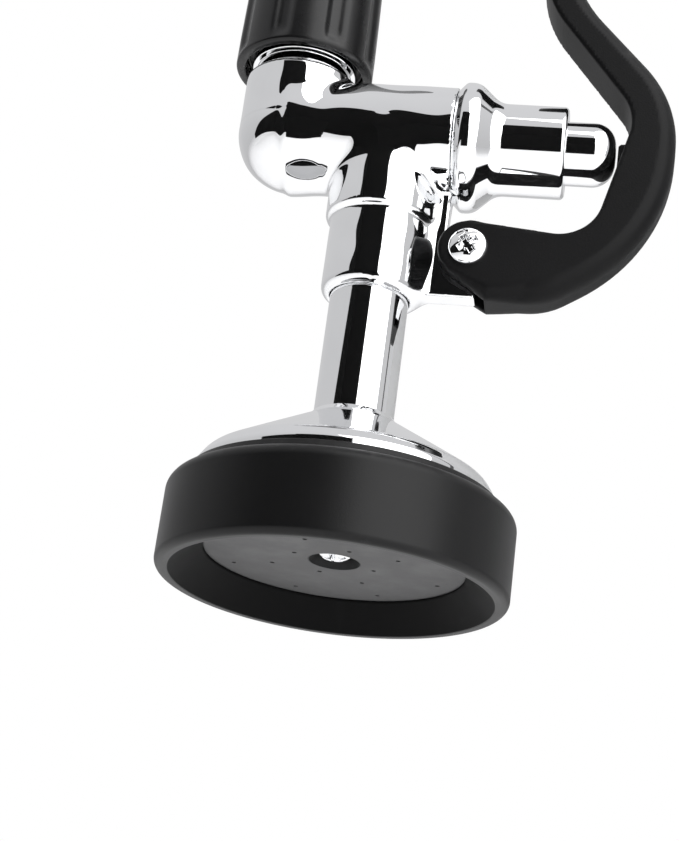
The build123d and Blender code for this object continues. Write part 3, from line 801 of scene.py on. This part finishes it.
def screw_field(radius, height, turn):
    """Field of a domed cross-head screw that stands on z = 0 and rises to height."""
    ball = (radius * radius + (height - 0.7) ** 2) / (2 * (height - 0.7))

    def field(x, y, z):
        """Screw head with its drive recess."""
        dome = np.sqrt(x * x + y * y + (z - height + ball) ** 2) - ball
        side = np.hypot(x, y) - radius
        head = rounded_edge(np.maximum(side, -z), dome, 0.45)
        shaft = bar(x, y, z, 1.95, -4.0, 0.5, 0.1)
        c, n = math.cos(turn), math.sin(turn)
        u, v = c * x + n * y, c * y - n * x
        taper = np.clip(height - z, 0.0, 3.0) * 0.45
        long, thick = radius * 0.58 - taper, 0.62 - taper * 0.12
        arm = cross(u, v, long, thick)
        nick = cross((u + v) * 0.7071, (v - u) * 0.7071, radius * 0.42, 0.13)
        nick = np.maximum(nick, height - 0.45 - z)
        well = np.hypot(x, y) - 1.15 + taper * 0.5
        drive = np.maximum(np.minimum(arm, well), height - 1.7 - z)
        return cut(cut(np.minimum(head, shaft), drive, 0.25), nick, 0.1)
    return field


def set_screw(name, radius, height, turn, centre, along):
    """Screw head skin, turned onto its axis."""
    field = screw_field(radius, height, turn)
    reach = radius + 0.4
    piece = skin(name, field, (-reach, -reach, -4.4), (reach, reach, height + 0.4), 0.13, finish_of("chrome"))
    turn_to = {"-Y": Matrix.Rotation(math.radians(90), 4, "X"), "-Z": Matrix.Rotation(math.pi, 4, "X")}[along]
    back = Matrix.Translation(-Vector((TUBE_X, 0.0, RIM_Z)) * MM)
    move = Matrix.Translation(Vector((TUBE_X + centre[0], centre[1], RIM_Z + centre[2])) * MM)
    piece.data.transform(move @ turn_to @ back)
    return piece


SCREW_HEIGHT = 2.15    # of both screws' heads


class SPRAYVALVE_OT_pivot(bpy.types.Operator):
    """Pivot screw with its cross-head drive on one side of the fork, and its hexagon nut on the other."""
    bl_idname = "spray_valve.pivot"
    bl_label = "Pivot screw and nut"

    def execute(self, context):
        half = context.scene.spray_valve_sizes.lever_width / 2
        screw = set_screw("Pivot_screw", 3.9, SCREW_HEIGHT, 0.62, (PIVOT_X, -half, PIVOT_Z), "-Y")
        settle(screw, "lever", "chrome", "pivot_screw")

        def nut_field(x, y, z):
            """Hexagon nut with chamfered corners, and the screw's end in it."""
            u, v, w = x - PIVOT_X, z - PIVOT_Z, y - half
            hexagon = np.maximum(np.abs(v), np.abs(v) * 0.5 + np.abs(u) * 0.8660) - 3.35
            cone = (np.hypot(u, v) - 3.75 + np.abs(w - 1.3) - 1.0) * 0.7
            nut = np.maximum(rounded_edge(hexagon, np.abs(w - 1.3) - 1.3, 0.12), cone)
            nut = cut(nut, np.hypot(u, v) - 2.15 + np.clip(w - 2.2, -0.4, 0.4) * -0.6, 0.15)
            end = rounded_edge(np.hypot(u, v) - 1.95, np.abs(w - 0.9) - 1.5, 0.35)
            return np.minimum(nut, end)

        nut = skin("Pivot_nut", nut_field, (PIVOT_X - 4.4, half - 1.2, PIVOT_Z - 4.4),
                   (PIVOT_X + 4.4, half + 3.2, PIVOT_Z + 4.4), 0.16, finish_of("chrome"))
        settle(nut, "lever", "chrome", "pivot_nut")
        return {"FINISHED"}


class SPRAYVALVE_OT_head(bpy.types.Operator):
    """Outlet tube, dome, spray face and its screw."""
    bl_idname = "spray_valve.head"
    bl_label = "Spray head"

    def execute(self, context):
        s = context.scene.spray_valve_sizes
        chrome = finish_of("chrome")
        foot, top = (corner[2] for corner in frame_span("outlet_tube"))
        r = s.tube_radius
        wall = [(r - 1.4, foot, 0.2), (r, foot, 0.2), (r, top, 0.5), (r - 1.4, top, 0.3)]
        tube = lathe("Outlet_tube", wall, chrome)
        settle(tube, "spray_head", "chrome", "outlet_tube")
        rim, neck, edge, collar = s.dome_radius, 34.2, 8.8, 7.45
        profile = [(r + 0.02, neck - 0.5, 0.1), (r + 0.2, neck, 0.1), (r + 1.2, 32.9, 0.9), (20.6, 26.0, 12.0),
                   (27.15, 22.1, 4.2), (rim - 0.05, 19.9, 1.7), (rim, edge, 0.3), (rim - 1.6, edge, 0.3),
                   (rim - 1.6, 16.0, 2.0), (19.8, 24.2, 6.0), (9.0, 30.4, 1.0), (9.0, 22.0, 0.3),
                   (collar, 22.0, 0.3), (collar, neck - 0.9, 0.1)]
        dome = lathe("Spray_dome", profile, chrome, segments=224)
        settle(dome, "spray_head", "chrome", "spray_dome")
        finish_nodes("face", "spray_face")
        under = frame_span("face_screw")[0][2] + 2.2
        screw = set_screw("Face_screw", 4.0, SCREW_HEIGHT, 0.15, (0.0, 0.0, under), "-Z")
        settle(screw, "spray_head", "chrome", "face_screw")
        return {"FINISHED"}


class SPRAYVALVE_OT_bumper(bpy.types.Operator):
    """Rubber rim guard with its rounded shoulder, soft rim and flared mouth."""
    bl_idname = "spray_valve.bumper"
    bl_label = "Rim guard"

    def execute(self, context):
        s = context.scene.spray_valve_sizes
        r, lip, edge = s.bumper_radius, s.face_height - 0.02, s.face_edge
        top = frame_span("bumper")[1][2]
        seat, pocket = 8.2, 26.85
        profile = [(s.mouth_radius + 0.15, 0.0, 0.8), (r, 0.0, 1.5), (r, top - 1.9, 2.6),
                   (30.3, top - 1.5, 0.35), (29.7, top, 0.35), (s.dome_radius - 0.1, top, 0.15),
                   (s.dome_radius + 0.05, seat, 0.2), (pocket, seat, 0.2), (pocket, lip, 0.1), (edge, lip, 0.15),
                   (edge + 0.1, lip - 0.5, 0.6)]
        piece = lathe("Rim_guard", profile, finish_of("rubber"), segments=224)
        piece.data.materials.append(finish_of("flare"))
        # faces inside the mouth take the finish with the painted shade
        flare = (s.mouth_radius + 0.05) * MM
        for face in piece.data.polygons:
            place = face.center - Vector((TUBE_X, 0.0, RIM_Z)) * MM
            inside = math.hypot(place.x, place.y) < flare and place.z < (lip + 0.2) * MM
            face.material_index = 1 if inside else 0
        settle(piece, "spray_head", "rubber", "bumper")
        return {"FINISHED"}


FLUTE_TURN = -104.0    # where the first flute stands round the grip, degrees
FLUTE_DEPTH = 0.85
FLUTE_HALF = 1.75      # half a flute's width


class SPRAYVALVE_OT_grip(bpy.types.Operator):
    """Fluted grip sleeve, with the chromed lock ring in its foot."""
    bl_idname = "spray_valve.grip"
    bl_label = "Grip"

    def execute(self, context):
        s = context.scene.spray_valve_sizes
        low, high, r = GRIP_LOW, GRIP_HIGH, s.grip_radius
        outer = [(12.1, low, 0.5), (r, low, 0.9)]
        shape = ((6.0, -0.03), (16.0, -0.22), (26.0, -0.45), (38.0, -0.7), (50.0, -0.8), (62.0, -0.72),
                 (74.0, -0.5), (86.0, -0.2), (96.0, 0.0), (103.0, 0.2))
        outer += [(r + grow, low + rise, 0.0) for rise, grow in shape]
        outer += [(r + 0.28, high - 2.0, 1.0), (r - 1.2, high, 1.2)]
        inner = [(11.34, high, 0.3), (11.34, high - 8.0, 0.3), (7.6, high - 8.0, 0.3), (7.6, low + 12.0, 0.3),
                 (9.2, low + 12.0, 0.3), (9.2, low + 3.2, 0.3), (12.1, low + 3.2, 0.4)]
        fine = []
        for a, b in zip(outer, outer[1:]):
            parts = max(1, int(abs(b[1] - a[1]) / 1.2))
            fine.append(a)
            fine += [(a[0] + (b[0] - a[0]) * k / parts, a[1] + (b[1] - a[1]) * k / parts, 0.0)
                     for k in range(1, parts)] if parts > 1 else []
        fine.append(outer[-1])
        pitch = 2 * math.pi / s.flutes

        def flutes(radius, height, turns):
            """Shallow flutes that run out before each end."""
            if radius < 12.6:
                return 0.0
            foot, head = (height - low - 0.9) / 2.2, (high - 6.0 - height) / 6.0
            ends = min(1.0, max(0.0, foot)) * min(1.0, max(0.0, head))
            ends = ends * ends * (3 - 2 * ends)
            offset = (np.mod(turns - math.radians(FLUTE_TURN) + pitch / 2, pitch) - pitch / 2) * radius
            return -FLUTE_DEPTH * ends * np.exp(-(np.abs(offset) / FLUTE_HALF) ** 3.2)

        grip = lathe("Grip_sleeve", fine + inner, finish_of("grip"), GRIP_AXIS, segments=384, ripple=flutes)
        settle(grip, "valve", "black_plastic", "grip_sleeve")
        base = GRIP_LOW - 1.5
        bore, waist, rim = SPIGOT_RADIUS + 0.02, 9.7, 10.7
        ring = [(bore, base, 0.2), (waist, base, 0.2), (waist, base + 1.7, 0.2), (rim, base + 2.0, 0.3),
                (rim, base + 4.4, 0.4), (bore, base + 4.4, 0.2)]
        lock = lathe("Grip_lock_ring", ring, finish_of("chrome"), GRIP_AXIS)
        settle(lock, "valve", "chrome", "grip_lock_ring")
        return {"FINISHED"}


THREAD_PITCH = 1.814
THREAD_STEPS = 90
BAND_STEPS = 40
KNURLS = 44    # round the band


class SPRAYVALVE_OT_coupling(bpy.types.Operator):
    """Chromed hose coupling with a knurled band and a female thread."""
    bl_idname = "spray_valve.coupling"
    bl_label = "Hose coupling"

    def execute(self, context):
        low = frame_span("hose_coupling")[0][2]
        shoulder, top, r, shank = GRIP_HIGH + 0.1, MOUTH_Z, 12.6, 11.3
        thread_top, thread_low = top - 0.6, top - 12.5
        thread = [(9.9, thread_top - (thread_top - thread_low) * k / THREAD_STEPS, 0.0)
                  for k in range(THREAD_STEPS + 1)]
        band_low, band_high = shoulder + 1.6, shoulder + 7.2
        band = [(r - 0.25, band_low + (band_high - band_low) * k / BAND_STEPS, 0.0)
                for k in range(BAND_STEPS + 1)]
        seat = thread_low - 1.5
        profile = [(INLET_RADIUS, low, 0.2), (shank, low, 0.3), (shank, shoulder, 0.2), (r, shoulder, 0.6)]
        profile += band + [(r, top, 0.7), (10.4, top, 0.3)]
        profile += thread + [(10.2, seat, 0.2), (INLET_RADIUS, seat, 0.2)]

        def cut_marks(radius, height, turns):
            """Diamond knurl outside, helical thread inside."""
            if radius < 11.0 and thread_low < height < top - 0.5:
                wave = np.mod(height / THREAD_PITCH + turns / (2 * math.pi), 1.0)
                return -0.55 * np.abs(2 * wave - 1.0) + 0.35
            if radius > 12.0 and band_low < height < band_high:
                climb = height * 1.35
                a = np.abs(np.mod(turns * KNURLS / math.pi + climb, 2.0) - 1.0)
                b = np.abs(np.mod(turns * KNURLS / math.pi - climb, 2.0) - 1.0)
                return -0.28 * (1.0 - np.minimum(a, b) * 2) * 0.5 - 0.1
            return np.zeros_like(turns)

        piece = lathe("Hose_coupling", profile, finish_of("chrome"), GRIP_AXIS, segments=528,
                      ripple=cut_marks)
        settle(piece, "valve", "chrome", "hose_coupling")
        return {"FINISHED"}


class SPRAYVALVE_OT_works(bpy.types.Operator):
    """Finishes for the pieces inside: stem, seat, seals, spring, spider and inlet tube."""
    bl_idname = "spray_valve.works"
    bl_label = "Inner works"

    def execute(self, context):
        finish_nodes("brass", "valve_seat", "washer_cup", "washer_screw", "valve_stem", "seal_keeper",
                     "pivot_bushing", "spray_spider", "inlet_tube")
        finish_nodes("rubber", "seat_washer", "bonnet_o_ring", "stem_seal", "tube_o_ring", "tube_washer",
                     "face_gasket", "hose_washer")
        finish_nodes("steel", "return_spring")
        return {"FINISHED"}


# ------------------------------------------------------------------ studio
CAMERA_AZIMUTH = 0.158
CAMERA_ELEVATION = -0.365
CAMERA_ROLL = 0.136
SENSOR = 36.0
FOCAL_LENGTH = 2.23317 * SENSOR
CAMERA_DISTANCE = 367.03    # mm from the aim
CAMERA_SHIFT = (-0.016055, -0.065891)    # sideways and up, as a share of that distance
AIM = (0.0, 0.0, 60.0)
LIGHTS_AIM = (0.0, 0.0, 80.0)
FLOOR_DROP = 130.0    # mm from the rim down to the floor


def camera_axes():
    """Right, up and back directions of the camera in the row frame."""
    ca, sa = math.cos(CAMERA_AZIMUTH), math.sin(CAMERA_AZIMUTH)
    ce, se = math.cos(CAMERA_ELEVATION), math.sin(CAMERA_ELEVATION)
    right = Vector((ca, sa, 0.0))
    back = Vector((sa * ce, -ca * ce, se))
    up = back.cross(right)
    c, n = math.cos(CAMERA_ROLL), math.sin(CAMERA_ROLL)
    return c * right + n * up, c * up - n * right, back


def make_camera():
    """Camera below the spray head, looking up at it."""
    right, up, back = camera_axes()
    aim = Vector(to_row([AIM])[0])
    place = aim + (right * CAMERA_SHIFT[0] + up * CAMERA_SHIFT[1] + back) * CAMERA_DISTANCE * MM
    data = bpy.data.cameras.new("Camera")
    data.lens = FOCAL_LENGTH
    data.sensor_width = SENSOR
    data.clip_start, data.clip_end = 0.01, 50.0
    camera = bpy.data.objects.new("Camera", data)
    camera.matrix_world = Matrix((right, up, back)).transposed().to_4x4()
    camera.location = place
    bpy.context.scene.collection.objects.link(camera)
    bpy.context.scene.camera = camera
    return camera


def direction(azimuth, elevation):
    """Direction from the object, measured from the camera's side, positive to its right and up."""
    a = math.radians(azimuth) + CAMERA_AZIMUTH
    e = math.radians(elevation)
    return Vector((math.sin(a) * math.cos(e), -math.cos(a) * math.cos(e), math.sin(e)))


def facing(obj, azimuth, elevation, distance):
    """Put a lamp or card round the valve, with its -Z towards it; the distance is in metres."""
    centre = Vector(to_row([LIGHTS_AIM])[0])
    obj.location = centre + direction(azimuth, elevation) * distance
    obj.rotation_mode = "QUATERNION"
    obj.rotation_quaternion = (centre - obj.location).to_track_quat("-Z", "Y")


def softbox(name, azimuth, elevation, distance, width, height, brightness, reflected=True):
    """Rectangular studio light of an even surface brightness."""
    data = bpy.data.lights.new(name, "AREA")
    data.shape = "RECTANGLE"
    data.size, data.size_y = width, height
    data.energy = brightness * math.pi * width * height
    lamp = bpy.data.objects.new(name, data)
    lamp.visible_glossy = reflected
    facing(lamp, azimuth, elevation, distance)
    lamp.visible_camera = False
    bpy.context.scene.collection.objects.link(lamp)
    return lamp


def card(name, azimuth, elevation, distance, width, height, value, left_edge=(-1.0, 1.0)):
    """Studio card that only shows in reflections; its left edge can be narrowed to a wedge."""
    mesh = bpy.data.meshes.new(name)
    w, h = width / 2, height / 2
    low, high = left_edge
    mesh.from_pydata([(-w, h * low, 0), (w, -h, 0), (w, h, 0), (-w, h * high, 0)], [], [(0, 1, 2, 3)])
    material, tree, shader = blank_material(name)
    shader.inputs["Base Color"].default_value = (value, value, value, 1.0)
    shader.inputs["Roughness"].default_value = 0.9
    shader.inputs["Specular IOR Level"].default_value = 0.1
    mesh.materials.append(material)
    panel = bpy.data.objects.new(name, mesh)
    facing(panel, azimuth, elevation, distance)
    panel.visible_camera = False
    panel.visible_shadow = False
    bpy.context.scene.collection.objects.link(panel)
    return panel


def make_world():
    """White behind the object, light grey in reflections."""
    world = bpy.data.worlds.new("Studio")
    bpy.context.scene.world = world
    world.use_nodes = True
    tree = world.node_tree
    sky = tree.nodes.new("ShaderNodeSeparateXYZ")
    feed(tree, sky.inputs["Vector"], tree.nodes.new("ShaderNodeTexCoord").outputs["Generated"])
    height = remap(tree, sky.outputs["Z"], -0.2, 0.95, 0.0, 1.0)
    reflected = tint(tree, (0.56, 0.56, 0.565, 1.0), (0.72, 0.72, 0.73, 1.0), height)
    seen = tree.nodes.new("ShaderNodeLightPath").outputs["Is Camera Ray"]
    feed(tree, tree.nodes["Background"].inputs["Color"], tint(tree, reflected, (1.0, 1.0, 1.0, 1.0), seen))


def make_floor(colour_value):
    """Large pale floor well below the spray head."""
    mesh = bpy.data.meshes.new("Floor")
    mesh.from_pydata([(-3, -3, 0), (3, -3, 0), (3, 3, 0), (-3, 3, 0)], [], [(0, 1, 2, 3)])
    material, tree, shader = blank_material("Studio floor")
    cloud = noise(tree, 3.0, 3.0, 0.5, object_place(tree))
    feed(tree, shader.inputs["Base Color"], tint(tree, colour_value, shade(colour_value, 0.96), cloud))
    shader.inputs["Roughness"].default_value = 0.8
    mesh.materials.append(material)
    floor = bpy.data.objects.new("Floor", mesh)
    floor.location.z = (RIM_Z - FLOOR_DROP) * MM
    bpy.context.scene.collection.objects.link(floor)


class SPRAYVALVE_OT_stage(bpy.types.Operator):
    """Camera, pale floor, soft lights and the cards that the chrome reflects."""
    bl_idname = "spray_valve.stage"
    bl_label = "Studio"

    def execute(self, context):
        context.scene.view_settings.view_transform = "Standard"
        make_camera()
        make_world()
        make_floor(tuple(context.scene.spray_valve_colours.floor))
        softbox("Key_light", 32.0, 25.0, 0.9, 1.0, 1.7, 2.2)
        softbox("Floor_light", 0.0, 90.0, 1.0, 1.6, 1.6, 1.7, reflected=False)
        card("Dark_card", -21.0, 12.0, 0.75, 0.58, 0.72, 0.004)
        card("Dark_wing", -63.0, 12.0, 0.76, 0.78, 0.77, 0.004, left_edge=(-0.72, -0.5))
        card("Camera_flag", -9.0, -11.0, 0.5, 0.24, 0.42, 0.004)
        card("Dark_strip", 82.0, 20.0, 0.8, 0.05, 0.9, 0.1)
        card("Grey_card", 130.0, 20.0, 0.9, 1.0, 1.2, 0.45)
        return {"FINISHED"}


class SPRAYVALVE_PT_panel(bpy.types.Panel):
    """Buttons for the spray valve's pieces."""
    bl_label = "Spray valve"
    bl_idname = "SPRAYVALVE_PT_panel"
    bl_space_type = "VIEW_3D"
    bl_region_type = "UI"
    bl_category = "Spray valve"

    def draw(self, context):
        for operator in OPERATORS:
            self.layout.operator(operator.bl_idname)
        for group in (context.scene.spray_valve_sizes, context.scene.spray_valve_colours):
            box = self.layout.box()
            for name in group.bl_rna.properties.keys():
                if name not in ("rna_type", "name"):
                    box.prop(group, name)


OPERATORS = (SPRAYVALVE_OT_casting, SPRAYVALVE_OT_bonnet, SPRAYVALVE_OT_lever, SPRAYVALVE_OT_pivot,
             SPRAYVALVE_OT_head, SPRAYVALVE_OT_bumper, SPRAYVALVE_OT_grip, SPRAYVALVE_OT_coupling,
             SPRAYVALVE_OT_works, SPRAYVALVE_OT_stage)
CLASSES = (SprayValveSizes, SprayValveColours) + OPERATORS + (SPRAYVALVE_PT_panel,)


def register():
    """Register the classes and their settings."""
    for cls in CLASSES:
        bpy.utils.register_class(cls)
    bpy.types.Scene.spray_valve_sizes = bpy.props.PointerProperty(type=SprayValveSizes)
    bpy.types.Scene.spray_valve_colours = bpy.props.PointerProperty(type=SprayValveColours)


def unregister():
    """Remove the settings and the classes."""
    del bpy.types.Scene.spray_valve_sizes
    del bpy.types.Scene.spray_valve_colours
    for cls in reversed(CLASSES):
        bpy.utils.unregister_class(cls)


def main():
    """Build every piece in order."""
    register()
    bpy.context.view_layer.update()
    for operator in OPERATORS:
        group, action = operator.bl_idname.split(".")
        result = getattr(getattr(bpy.ops, group), action)()
        if result != {"FINISHED"}:
            raise RuntimeError(f"{operator.bl_label} was not built")


if __name__ == "__main__":
    main()
